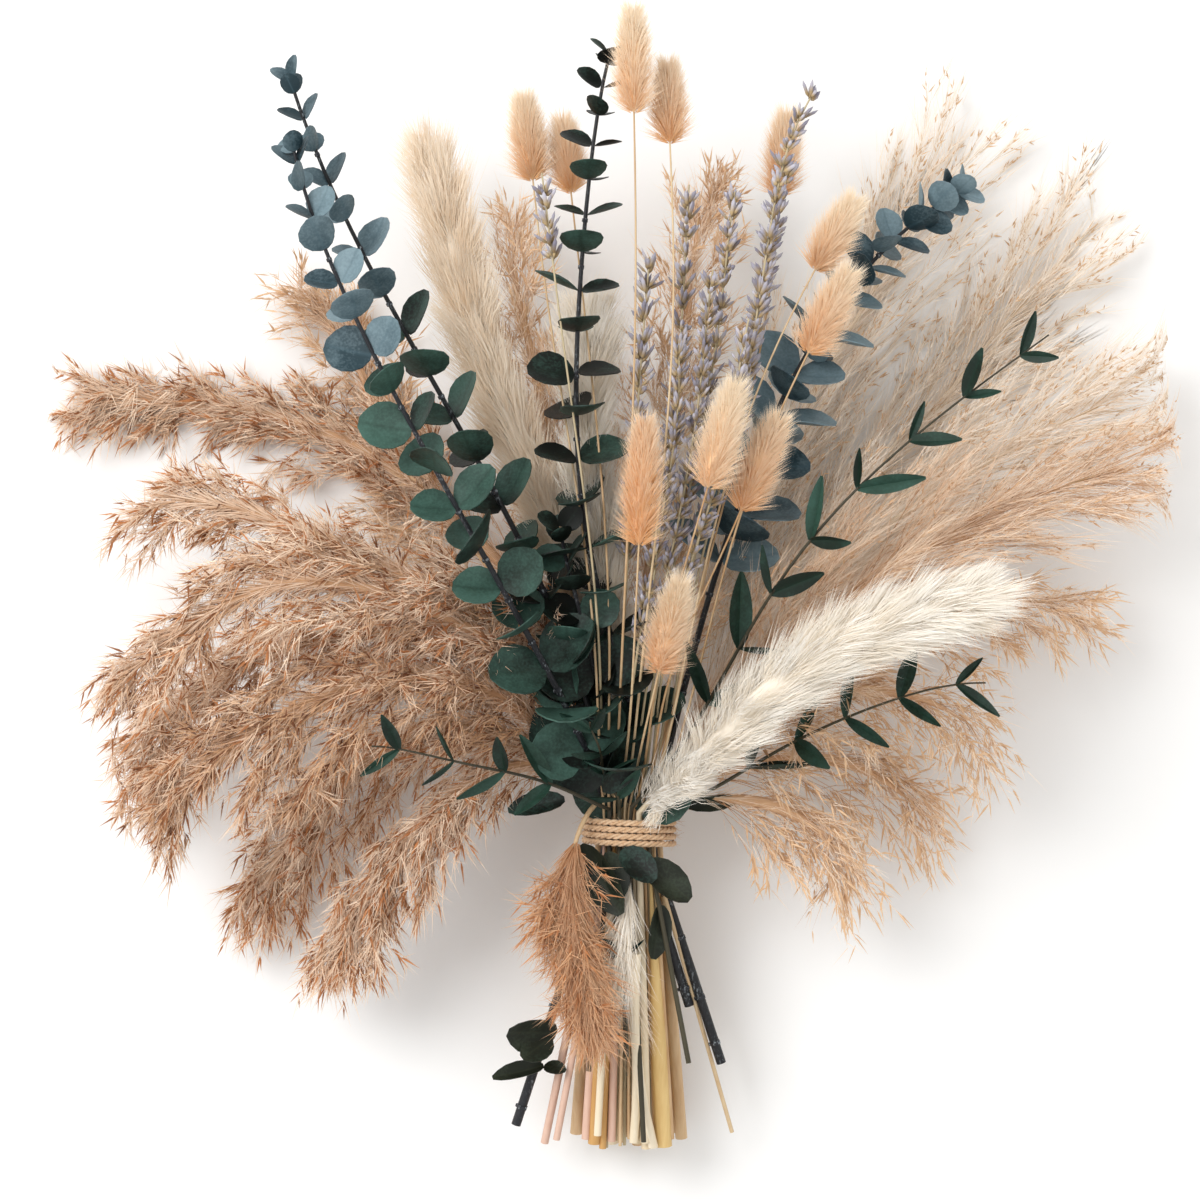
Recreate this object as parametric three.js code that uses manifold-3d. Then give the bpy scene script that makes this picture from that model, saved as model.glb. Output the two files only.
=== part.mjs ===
// A hand-tied bouquet of dried plants, lying on its back: reed plumes, pale grass, cream pampas,
// eucalyptus, lavender and bunny-tail grass, gathered in a bundle and bound with jute twine.
// Millimetres, +Z up. The cut stems point along -Y and the heads fan out towards +Y.
// The stems cross the tie in rows, one above another, and each row opens into a fan of its own.
// Each plant is laid out from the middle of the tie; the finished group is then moved so that
// its origin is the middle of the bottom of its box.
import * as THREE from "three";
import { mergeVertices } from "three/addons/utils/BufferGeometryUtils.js";
import Module from "manifold-3d";

const wasm = await Module();
wasm.setup();

const TIE = { height: 45, grip: 9, radius: 16.6 }; // grip: stems run straight this far each side
const TWINE = { radius: 1.25, turns: 4, pitch: 2.8, sides: 6, stepsPerTurn: 16 };
const GAP = 0.4; // clear space kept between plants that touch
const STEM_STEP = 32; // about how far apart the rings of a stem are
const FAN = { reach: 26, lift: 6, open: 2 }; // how far the rows have opened just above the tie
const FOOT = { drop: 130, spread: 1.75, rise: 1.5, sag: 22.6 }; // how the cut ends fan out
const SLAB = 400; // size of the block that flattens whatever rests on the surface

// stem and foot are radii at the tie and at the cut end; sides counts the facets round a stem.
// head is the share of the growth above the tie that the plume, tail or spike takes.
const KINDS = {
  reed: { stem: 1.35, foot: 2.8, sides: 5, colour: 0xb98a62, headSides: 7, headRings: 6, peak: 0.8 },
  grass: { stem: 1.35, foot: 2.4, sides: 5, colour: 0xd9c3a5, headSides: 7, headRings: 6, peak: 0.9 },
  pampas: { stem: 1.35, foot: 3.4, sides: 5, colour: 0xeadfca, headSides: 7, headRings: 6, peak: 0.7 },
  eucalyptus: { stem: 1.5, foot: 2.3, sides: 5, colour: 0x24463a },
  narrowleaf: { stem: 0.9, foot: 1.2, sides: 5, colour: 0x3c6650 },
  lavender: { stem: 0.6, foot: 0.7, sides: 4, colour: 0x9b93a5, headSides: 6, headRings: 4, peak: 0.9 },
  tail: { stem: 0.6, foot: 0.7, sides: 4, colour: 0xe9cba4, headSides: 7, headRings: 5, peak: 1 },
};

// Rows of stems in the tie from the back to the front, each listed from left to right.
// via and tip are [x, y, z]: right of the tie, towards the heads, above the surface.
// head is the length of the plume and girth its radius; leaf is the length of the largest leaf and
// bare the length of stem above the tie without leaves; foot moves the cut end: right, shorter, up.
const ROWS = [
  {
    level: -13.2,
    pitch: 4.2,
    plants: [
      { name: "reed_left_top", kind: "reed", via: [[-45, 95, 18], [-120, 160, 12]], tip: [-226, 180, 9], head: 165, girth: 14 },
      { name: "reed_back_left", kind: "reed", via: [[-32, 80, 20], [-86, 152, 12]], tip: [-134, 218, 9], head: 120, girth: 13 },
      { name: "grass_back_right", kind: "grass", via: [[35, 100, 18], [82, 190, 13]], tip: [126, 262, 9], head: 180, girth: 15 },
      { name: "grass_right_top", kind: "grass", via: [[48, 82, 18], [108, 152, 12]], tip: [174, 228, 9], head: 180, girth: 14 },
    ],
  },
  {
    level: -9,
    pitch: 4.2,
    plants: [
      { name: "reed_left_foot", kind: "reed", via: [[-36, 32, 38], [-82, 44, 36], [-120, 16, 26]], tip: [-151, -24, 18], head: 130, girth: 13 },
      { name: "reed_left_low", kind: "reed", via: [[-50, 62, 52], [-112, 84, 54], [-166, 62, 44]], tip: [-206, 33, 34], head: 165, girth: 13 },
      { name: "reed_back_middle", kind: "reed", via: [[6, 90, 48], [20, 180, 44]], tip: [30, 262, 36], head: 150, girth: 15 },
      { name: "grass_right_upper", kind: "grass", via: [[48, 70, 50], [112, 130, 48]], tip: [202, 178, 36], head: 185, girth: 14 },
      { name: "reed_right_upper", kind: "reed", via: [[46, 50, 46], [108, 84, 42]], tip: [182, 94, 30], head: 140, girth: 13 },
      { name: "reed_right_foot", kind: "reed", via: [[36, 22, 34], [82, 30, 32]], tip: [122, 6, 24], head: 90, girth: 12 },
    ],
  },
  {
    level: -4.8,
    pitch: 4.2,
    plants: [
      { name: "reed_left_hanging", kind: "reed", via: [[-28, 24, 46], [-62, 26, 60], [-92, -8, 56]], tip: [-117, -47, 46], head: 100, girth: 12 },
      { name: "reed_left_upper", kind: "reed", via: [[-48, 78, 76], [-115, 118, 80]], tip: [-192, 136, 66], head: 150, girth: 13 },
      { name: "pampas_tall_left", kind: "pampas", via: [[-22, 95, 72], [-58, 190, 72]], tip: [-85, 286, 56], head: 190, girth: 12 },
      { name: "reed_back_centre", kind: "reed", via: [[-18, 90, 60], [-34, 168, 54]], tip: [-52, 248, 44], head: 130, girth: 10 },
      { name: "grass_right_middle", kind: "grass", via: [[50, 62, 74], [116, 114, 76]], tip: [198, 148, 62], head: 185, girth: 13 },
      { name: "reed_right_middle", kind: "reed", via: [[42, 38, 66], [92, 60, 68]], tip: [142, 42, 56], head: 105, girth: 12 },
      { name: "reed_right_hanging", kind: "reed", via: [[26, 14, 58], [58, 12, 60]], tip: [88, -12, 50], head: 70, girth: 10 },
    ],
  },
  {
    level: -0.6,
    pitch: 4.4,
    plants: [
      { name: "reed_left_short", kind: "reed", via: [[-20, 16, 50], [-36, 2, 58]], tip: [-43, -58, 54], head: 62, girth: 7, foot: [-4, 0, 0] },
      { name: "reed_left_front", kind: "reed", via: [[-42, 50, 72], [-96, 66, 96], [-144, 44, 98]], tip: [-188, 12, 84], head: 150, girth: 14 },
      { name: "reed_left_middle", kind: "reed", via: [[-46, 70, 78], [-112, 102, 104], [-166, 92, 104]], tip: [-202, 62, 92], head: 150, girth: 14 },
      { name: "pampas_centre", kind: "pampas", via: [[-10, 90, 74], [-16, 150, 82]], tip: [-17, 218, 76], head: 130, girth: 10 },
    ],
  },
  {
    level: 3.8,
    pitch: 4.9,
    plants: [
      { name: "eucalyptus_left", kind: "eucalyptus", via: [[-26, 50, 88], [-70, 134, 118], [-112, 212, 126]], tip: [-134, 272, 122], leaf: 17, bare: 46, foot: [-30, 5, 0] },
      { name: "eucalyptus_tall_left", kind: "eucalyptus", via: [[-20, 60, 82], [-60, 150, 102], [-104, 226, 104]], tip: [-137, 303, 98], leaf: 16, bare: 70, foot: [-6, 18, 0] },
      { name: "eucalyptus_low", kind: "eucalyptus", via: [[-10, 50, 75], [-20, 84, 92]], tip: [-28, 124, 102], leaf: 18, bare: 22, foot: [2, 22, 0] },
      { name: "eucalyptus_centre", kind: "eucalyptus", via: [[-4, 70, 80], [-21, 150, 104], [-20, 226, 106]], tip: [-9, 314, 98], leaf: 17, bare: 58, foot: [18, 56, 0] },
      { name: "eucalyptus_right", kind: "eucalyptus", via: [[28, 84, 66], [64, 180, 74], [96, 230, 70]], tip: [134, 262, 62], leaf: 14, bare: 130, foot: [23, 34, 0] },
    ],
  },
  {
    level: 7.4,
    pitch: 2.1,
    plants: [
      { name: "lavender_far_left", kind: "lavender", via: [[-14, 100, 104], [-27, 200, 118]], tip: [-35, 264, 116], head: 40, girth: 3 },
      { name: "lavender_left", kind: "lavender", via: [[-2, 90, 92], [3, 170, 96]], tip: [8, 232, 96], head: 84, girth: 5 },
      { name: "lavender_low", kind: "lavender", via: [[3, 70, 96], [12, 130, 104]], tip: [20, 196, 106], head: 90, girth: 6 },
      { name: "lavender_back", kind: "lavender", via: [[8, 90, 92], [19, 180, 86]], tip: [24, 262, 82], head: 96, girth: 5 },
      { name: "lavender_middle", kind: "lavender", via: [[10, 80, 94], [24, 150, 106]], tip: [33, 226, 110], head: 100, girth: 6 },
      { name: "lavender_tall", kind: "lavender", via: [[14, 90, 94], [32, 180, 98]], tip: [42, 258, 98], head: 110, girth: 6 },
      { name: "lavender_front", kind: "lavender", via: [[15, 80, 96], [34, 140, 112]], tip: [47, 206, 118], head: 84, girth: 6 },
      { name: "lavender_right_low", kind: "lavender", via: [[18, 90, 93], [44, 170, 97]], tip: [57, 240, 96], head: 100, girth: 6 },
      { name: "lavender_right", kind: "lavender", via: [[21, 90, 88], [47, 190, 86]], tip: [64, 268, 84], head: 90, girth: 5 },
      { name: "lavender_bending", kind: "lavender", via: [[24, 90, 83], [46, 180, 104], [59, 260, 112]], tip: [72, 296, 110], head: 104, girth: 5 },
    ],
  },
  {
    level: 9.6,
    pitch: 2.05,
    plants: [
      { name: "tail_far_left", kind: "tail", via: [[-16, 100, 98], [-31, 200, 92]], tip: [-43, 297, 84], head: 38, girth: 9 },
      { name: "tail_top_left", kind: "tail", via: [[-9, 110, 100], [-17, 200, 96]], tip: [-27, 288, 78], head: 34, girth: 7 },
      { name: "tail_top", kind: "tail", via: [[-2, 100, 110], [2, 200, 126]], tip: [1, 328, 124], head: 45, girth: 9.5 },
      { name: "tail_tan", kind: "tail", via: [[1, 60, 104], [2, 90, 130]], tip: [6, 166, 134], head: 58, girth: 10.5 },
      { name: "tail_top_right", kind: "tail", via: [[8, 100, 108], [17, 200, 122]], tip: [15, 308, 106], head: 34, girth: 8 },
      { name: "tail_low", kind: "tail", via: [[4, 30, 76], [8, 52, 108]], tip: [20, 102, 136], head: 46, girth: 10.5 },
      { name: "tail_middle", kind: "tail", via: [[14, 80, 108], [24, 116, 130]], tip: [42, 180, 136], head: 48, girth: 11 },
      { name: "tail_middle_right", kind: "tail", via: [[18, 70, 96], [33, 106, 112]], tip: [60, 167, 122], head: 44, girth: 11 },
      { name: "tail_behind_lavender", kind: "tail", via: [[29, 100, 91], [54, 200, 76]], tip: [64, 292, 68], head: 38, girth: 7.5 },
      { name: "tail_right_top", kind: "tail", via: [[26, 90, 98], [55, 190, 106]], tip: [90, 254, 104], head: 36, girth: 9 },
      { name: "tail_right", kind: "tail", via: [[31, 80, 94], [55, 160, 118]], tip: [87, 224, 126], head: 40, girth: 9.5 },
    ],
  },
  {
    level: 12.8,
    pitch: 4,
    plants: [
      { name: "narrowleaf_left", kind: "narrowleaf", via: [[-22, 16, 76], [-50, 28, 92], [-76, 31, 102]], tip: [-103, 35, 106], leaf: 20, bare: 32, foot: [-4, 30, 14] },
      { name: "narrowleaf_foot", kind: "narrowleaf", via: [[-9, 24, 76]], tip: [-16, 46, 100], leaf: 20, bare: 8, foot: [5, 38, 14] },
      { name: "narrowleaf_right", kind: "narrowleaf", via: [[28, 50, 84], [62, 106, 120], [98, 148, 132]], tip: [166, 200, 124], leaf: 21, bare: 60, foot: [6, 4, 8] },
      { name: "pampas_front", kind: "pampas", via: [[14, 16, 68], [34, 36, 96], [76, 74, 124]], tip: [148, 98, 128], head: 150, girth: 15 },
      { name: "narrowleaf_right_low", kind: "narrowleaf", via: [[26, 12, 62], [62, 36, 80], [94, 52, 92]], tip: [142, 62, 98], leaf: 20, bare: 40, foot: [12, 36, 10] },
    ],
  },
];

// ---- solids ----

// A closed geometry as a manifold solid, and back.
function solidOf(geometry) {
  const bare = geometry.clone();
  bare.deleteAttribute("normal");
  bare.deleteAttribute("uv");
  const merged = mergeVertices(bare, 1e-4);
  return new wasm.Manifold(
    new wasm.Mesh({
      numProp: 3,
      vertProperties: new Float32Array(merged.attributes.position.array),
      triVerts: new Uint32Array(merged.index.array),
    }),
  );
}

function geometryOf(solid) {
  const { vertProperties, triVerts, numProp, numVert } = solid.getMesh();
  const positions = new Float32Array(numVert * 3);
  for (let i = 0; i < numVert; i++) {
    positions.set(vertProperties.subarray(i * numProp, i * numProp + 3), i * 3);
  }
  const geometry = new THREE.BufferGeometry();
  geometry.setAttribute("position", new THREE.BufferAttribute(positions, 3));
  geometry.setIndex(new THREE.BufferAttribute(new Uint32Array(triVerts), 1));
  geometry.computeVertexNormals();
  return geometry;
}

// The place and directions at a share of a curve. The side directions turn as little as possible.
function framesAlong(curve, shares) {
  let side = new THREE.Vector3(0, 0, 1);
  return shares.map((share) => {
    const along = curve.getTangentAt(share).normalize();
    side = side.clone().addScaledVector(along, -side.dot(along)).normalize();
    return { place: curve.getPointAt(share), along, side, across: side.clone().cross(along) };
  });
}

// A lathe turned from [share of the curve, radius] pairs, bent so that its axis is the curve.
function turnedAlong(curve, profile, sides) {
  const lathe = new THREE.LatheGeometry(
    profile.map(([, radius], ring) => new THREE.Vector2(radius, ring)),
    sides,
  );
  const frames = framesAlong(curve, profile.map(([share]) => share));
  const positions = lathe.attributes.position;
  for (let i = 0; i < positions.count; i++) {
    const frame = frames[Math.round(positions.getY(i))];
    const point = frame.place
      .clone()
      .addScaledVector(frame.side, positions.getX(i))
      .addScaledVector(frame.across, positions.getZ(i));
    positions.setXYZ(i, point.x, point.y, point.z);
  }
  return solidOf(lathe);
}

// ---- one plant ----

// The cut end of a stem. The rows open out below the tie too, and no cut is quite level.
function footOf(plant, slot, order) {
  const [right, shorter, up] = plant.foot ?? [0, 0, 0];
  const reach = FOOT.drop - shorter + ((order * 37) % 5) - 2;
  const part = reach / FOOT.drop;
  const low = TIE.height + slot.level * FOOT.rise - FOOT.sag;
  const height = THREE.MathUtils.lerp(TIE.height + slot.level, low, part) + up;
  const across = slot.x * THREE.MathUtils.lerp(1, FOOT.spread, part);
  return new THREE.Vector3(across + right, -reach, Math.max(KINDS[plant.kind].foot, height));
}

// The route of a stem: cut end, straight through the tie, then by way of its bends to its tip.
function routeOf(plant, slot, order) {
  const height = TIE.height + slot.level;
  const through = [-TIE.grip, 0, TIE.grip].map((y) => new THREE.Vector3(slot.x, y, height));
  const bends = [...plant.via, plant.tip].map((point) => new THREE.Vector3(...point));
  const out = new THREE.Vector3(bends[0].x - slot.x, bends[0].y, 0);
  if (out.length() > FAN.reach * 1.5) {
    const opened = TIE.height + FAN.lift + slot.level * FAN.open;
    out.setLength(FAN.reach).add(new THREE.Vector3(slot.x, 0, opened));
    bends.unshift(out);
  }
  const points = [footOf(plant, slot, order), ...through, ...bends];
  return new THREE.CatmullRomCurve3(points, false, "centripetal");
}

// How far along a route the stem passes a given place below or above the tie.
function shareAt(curve, y) {
  const samples = 600;
  return curve.getSpacedPoints(samples).findIndex((point) => point.y > y) / samples;
}

// A stem with its flat cut end, thickest at the cut and finest at the tip.
function stemProfile(curve, kind, extra) {
  const [below, above] = [shareAt(curve, -TIE.grip), shareAt(curve, TIE.grip)];
  const rings = Math.ceil(((1 - above) * curve.getLength()) / STEM_STEP);
  const profile = [
    [0, 0],
    [0, kind.foot + extra],
    [below / 2, (kind.foot + kind.stem) / 2 + extra],
    [below, kind.stem + extra],
  ];
  for (let ring = 0; ring <= rings; ring++) {
    const part = (ring / rings) ** 1.3;
    const radius = THREE.MathUtils.lerp(kind.stem, kind.stem * 0.45, part);
    profile.push([THREE.MathUtils.lerp(above, 1, part), radius + extra]);
  }
  profile.push([1, 0]);
  return profile;
}

// A plume, tail or spike that swells from the stem and closes to a point at the tip.
function headProfile(curve, plant, kind) {
  const start = 1 - plant.head / curve.getLength();
  const profile = [[start, 0]];
  for (let ring = 1; ring < kind.headRings; ring++) {
    const part = ring / kind.headRings;
    const swell = Math.sin(Math.PI * part ** kind.peak) ** 0.7;
    profile.push([THREE.MathUtils.lerp(start, 0.995, part), Math.max(plant.girth * swell, 1)]);
  }
  profile.push([0.995, 0]);
  return profile;
}

// A leaf blade: a thin six-sided lens, long across and half as wide as it is long.
function blade(length, width, thickness) {
  const lens = [
    [0, -1],
    [1, 0],
    [0, 1],
  ].map(([radius, height]) => new THREE.Vector2(radius, height));
  return new THREE.LatheGeometry(lens, 6).scale(length / 2, thickness / 2, width / 2);
}

// Round leaves sit opposite each other across the stem; each pair is turned a quarter from the last.
function roundLeaves(curve, plant) {
  const length = curve.getLength();
  const first = shareAt(curve, 0) + plant.bare / length;
  const pairs = Math.round((length * (1 - first)) / (plant.leaf * 1.25));
  const shares = Array.from({ length: pairs }, (_, i) => first + ((0.995 - first) * (i + 0.5)) / pairs);
  return framesAlong(curve, shares).map((frame, i) => {
    const span = plant.leaf * 2 * (1 - 0.45 * ((i + 1) / pairs) ** 2);
    const turn = new THREE.Matrix4().makeBasis(frame.side, frame.along, frame.across);
    const pair = blade(span, span * 0.42, 2.2).rotateY((i % 2) * (Math.PI / 2) + 0.5);
    return solidOf(pair.applyMatrix4(turn.setPosition(frame.place)));
  });
}

// Narrow leaves leave the stem in pairs and lean forwards.
function narrowLeaves(curve, plant) {
  const length = curve.getLength();
  const first = shareAt(curve, 0) + plant.bare / length;
  const pairs = Math.max(2, Math.round((length * (1 - first)) / 24));
  const shares = Array.from({ length: pairs }, (_, i) => first + ((0.985 - first) * (i + 0.5)) / pairs);
  return framesAlong(curve, shares).flatMap((frame, i) =>
    [0, Math.PI].map((half) => {
      const size = plant.leaf * (1 - 0.3 * (i / pairs));
      const leaf = blade(size, size * 0.36, 1.6)
        .translate(size * 0.46, 0, 0)
        .rotateZ(0.75)
        .rotateY(half + (i % 2) * (Math.PI / 2) + 0.8);
      const turn = new THREE.Matrix4().makeBasis(frame.side, frame.along, frame.across);
      return solidOf(leaf.applyMatrix4(turn.setPosition(frame.place)));
    }),
  );
}

function growthOf(plant, curve) {
  const kind = KINDS[plant.kind];
  if (plant.kind === "eucalyptus") return roundLeaves(curve, plant);
  if (plant.kind === "narrowleaf") return narrowLeaves(curve, plant);
  return [turnedAlong(curve, headProfile(curve, plant, kind), kind.headSides)];
}

// ---- the twine ----

class Coil extends THREE.Curve {
  getPoint(t, target = new THREE.Vector3()) {
    const angle = t * TWINE.turns * 2 * Math.PI;
    const radius = TIE.radius + GAP + TWINE.radius;
    const y = (t - 0.5) * TWINE.turns * TWINE.pitch;
    return target.set(radius * Math.cos(angle), y, TIE.height + radius * Math.sin(angle));
  }
}

function twineSolid(radius) {
  const steps = TWINE.turns * TWINE.stepsPerTurn;
  const profile = [[0, 0]];
  for (let i = 0; i <= steps; i++) profile.push([i / steps, radius]);
  profile.push([1, 0]);
  return turnedAlong(new Coil(), profile, TWINE.sides);
}

// The space that the twine takes, as a ring that plumes and leaves keep clear of.
function twineCollar() {
  const half = (TWINE.turns * TWINE.pitch) / 2 + TWINE.radius + GAP;
  const outer = TIE.radius + 2 * TWINE.radius + 3 * GAP;
  const ring = [
    [0, -half],
    [outer, -half],
    [outer, half],
    [0, half],
  ].map(([radius, height]) => new THREE.Vector2(radius, height));
  return solidOf(new THREE.LatheGeometry(ring, 16).translate(0, 0, TIE.height));
}

// ---- the bouquet ----

function overlaps(a, b) {
  const boxA = a.boundingBox();
  const boxB = b.boundingBox();
  return [0, 1, 2].every((i) => boxA.min[i] < boxB.max[i] && boxB.min[i] < boxA.max[i]);
}

function cutBack(solid, others) {
  return others.reduce((left, other) => (overlaps(left, other) ? left.subtract(other) : left), solid);
}

const plants = ROWS.flatMap(({ level, pitch, plants: row }) =>
  row.map((plant, i) => {
    const slot = { x: (i - (row.length - 1) / 2) * pitch, level };
    const curve = routeOf(plant, slot, i);
    const kind = KINDS[plant.kind];
    return {
      ...plant,
      curve,
      stalk: turnedAlong(curve, stemProfile(curve, kind, 0), kind.sides),
      room: turnedAlong(curve, stemProfile(curve, kind, GAP), kind.sides),
    };
  }),
);

const surface = solidOf(new THREE.BoxGeometry(3 * SLAB, 3 * SLAB, SLAB).translate(0, 0, -SLAB / 2));
const collar = twineCollar();

// Stems keep their shape; leaves and plumes give way to the stems, the twine and each other.
const bouquet = new THREE.Group();
const placed = [];
for (const plant of [...plants].reverse()) {
  const stems = plants.filter((other) => other !== plant).map((other) => other.room);
  const growth = growthOf(plant, plant.curve).map((part) =>
    cutBack(part, [...stems, collar, ...placed, surface]),
  );
  const whole = growth.reduce((sum, part) => sum.add(part), plant.stalk);
  const [main] = whole.decompose().sort((a, b) => b.volume() - a.volume());
  const kind = KINDS[plant.kind];
  const mesh = new THREE.Mesh(
    geometryOf(main),
    new THREE.MeshStandardMaterial({ color: kind.colour, roughness: 0.85, metalness: 0 }),
  );
  mesh.name = plant.name;
  bouquet.add(mesh);
  placed.push(main.asOriginal());
}

const twine = new THREE.Mesh(
  geometryOf(twineSolid(TWINE.radius)),
  new THREE.MeshStandardMaterial({ color: 0xc79d72, roughness: 0.9, metalness: 0 }),
);
twine.name = "jute_twine";
bouquet.add(twine);

const box = new THREE.Box3().setFromObject(bouquet);
const middle = box.getCenter(new THREE.Vector3());
bouquet.position.set(-middle.x, -middle.y, -box.min.z);

export default bouquet;
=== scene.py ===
import math

import bmesh
import bpy
import numpy as np
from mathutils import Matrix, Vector


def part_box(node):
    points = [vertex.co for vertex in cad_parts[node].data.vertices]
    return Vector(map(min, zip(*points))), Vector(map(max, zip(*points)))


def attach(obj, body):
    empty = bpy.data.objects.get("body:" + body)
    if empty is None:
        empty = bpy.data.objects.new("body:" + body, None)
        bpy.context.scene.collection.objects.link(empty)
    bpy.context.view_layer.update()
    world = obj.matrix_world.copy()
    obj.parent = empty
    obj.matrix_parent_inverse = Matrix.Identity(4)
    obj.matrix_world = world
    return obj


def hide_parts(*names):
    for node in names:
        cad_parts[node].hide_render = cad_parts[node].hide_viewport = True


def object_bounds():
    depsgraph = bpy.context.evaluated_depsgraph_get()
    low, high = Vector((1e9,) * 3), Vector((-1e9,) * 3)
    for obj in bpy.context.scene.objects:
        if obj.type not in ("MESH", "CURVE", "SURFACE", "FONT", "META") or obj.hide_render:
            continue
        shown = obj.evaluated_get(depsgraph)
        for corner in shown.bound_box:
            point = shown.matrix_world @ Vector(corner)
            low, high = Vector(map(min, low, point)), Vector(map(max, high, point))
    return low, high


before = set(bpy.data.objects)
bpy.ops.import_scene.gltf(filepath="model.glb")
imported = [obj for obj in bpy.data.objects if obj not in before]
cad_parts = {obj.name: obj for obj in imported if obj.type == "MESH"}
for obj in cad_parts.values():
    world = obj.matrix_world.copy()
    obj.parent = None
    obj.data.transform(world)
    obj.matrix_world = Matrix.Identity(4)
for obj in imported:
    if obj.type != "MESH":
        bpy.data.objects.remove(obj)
cadLow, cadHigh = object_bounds()
mm = 0.001
floorGap = 0.0002  # nothing reaches lower than this above the surface
print("frame loaded:", len(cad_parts), "plants and twine")


# camera, floor and light

shot = {"lens": 150, "across": 0.484, "focusHeight": 0.085, "north": -0.003}


def addCamera():
    camera = bpy.data.objects.new("camera", bpy.data.cameras.new("camera"))
    camera.data.lens = shot["lens"]
    camera.data.sensor_width = 36
    distance = shot["across"] * shot["lens"] / camera.data.sensor_width
    middle = (cadLow + cadHigh) / 2
    camera.location = (middle.x, middle.y + shot["north"], shot["focusHeight"] + distance)
    camera.data.clip_end = 20
    bpy.context.scene.collection.objects.link(camera)
    bpy.context.scene.camera = camera


studio = {"world": 0.9, "key": 38, "keyPlace": (-1.3, 0.9, 2.0), "keySize": 1.5, "floorShade": 0.93}


def addLight(name, place, size, power):
    light = bpy.data.lights.new(name, "AREA")
    light.shape = "DISK"
    light.size = size
    light.energy = power
    lamp = bpy.data.objects.new(name, light)
    lamp.location = place
    lamp.rotation_euler = (-Vector(place)).to_track_quat("-Z", "Y").to_euler()
    bpy.context.scene.collection.objects.link(lamp)


def addStudio():
    world = bpy.data.worlds.new("studio")
    world.use_nodes = True
    sky = world.node_tree.nodes["Background"]
    sky.inputs["Color"].default_value = (1.0, 0.995, 0.985, 1)
    sky.inputs["Strength"].default_value = studio["world"]
    bpy.context.scene.world = world
    bpy.context.scene.view_settings.view_transform = "Standard"
    addLight("keyLight", studio["keyPlace"], studio["keySize"], studio["key"])
    bm = bmesh.new()
    bmesh.ops.create_grid(bm, x_segments=1, y_segments=1, size=6)
    mesh = bpy.data.meshes.new("floor")
    bm.to_mesh(mesh)
    bm.free()
    floor = bpy.data.objects.new("floor", mesh)
    bpy.context.scene.collection.objects.link(floor)
    paint = Finish("floorPaint", roughness=0.85)
    shade = studio["floorShade"]
    paint.shader.inputs["Base Color"].default_value = (shade, shade, shade * 0.995, 1)
    mesh.materials.append(paint.material)


# finishes


def tone(code):  # a colour written as web hex, as the shader wants it
    parts = [int(code[i : i + 2], 16) / 255 for i in (0, 2, 4)]
    return tuple([((c + 0.055) / 1.055) ** 2.4 if c > 0.04045 else c / 12.92 for c in parts] + [1])


class Value:  # a socket that can be used in a sum
    def __init__(self, tree, socket):
        self.tree, self.socket = tree, socket

    def math(self, operation, first, second=0.0):
        node = self.tree.nodes.new("ShaderNodeMath")
        node.operation = operation
        for place, value in zip(node.inputs, (first, second)):
            if isinstance(value, Value):
                self.tree.links.new(value.socket, place)
            else:
                place.default_value = value
        return Value(self.tree, node.outputs[0])

    def __add__(self, other):
        return self.math("ADD", self, other)

    __radd__ = __add__

    def __sub__(self, other):
        return self.math("SUBTRACT", self, other)

    def __rsub__(self, other):
        return self.math("SUBTRACT", other, self)

    def __mul__(self, other):
        return self.math("MULTIPLY", self, other)

    __rmul__ = __mul__

    def __abs__(self):
        return self.math("ABSOLUTE", self)

    def clipped(self):
        return self.math("MINIMUM", self.math("MAXIMUM", self, 0.0), 1.0)


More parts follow.
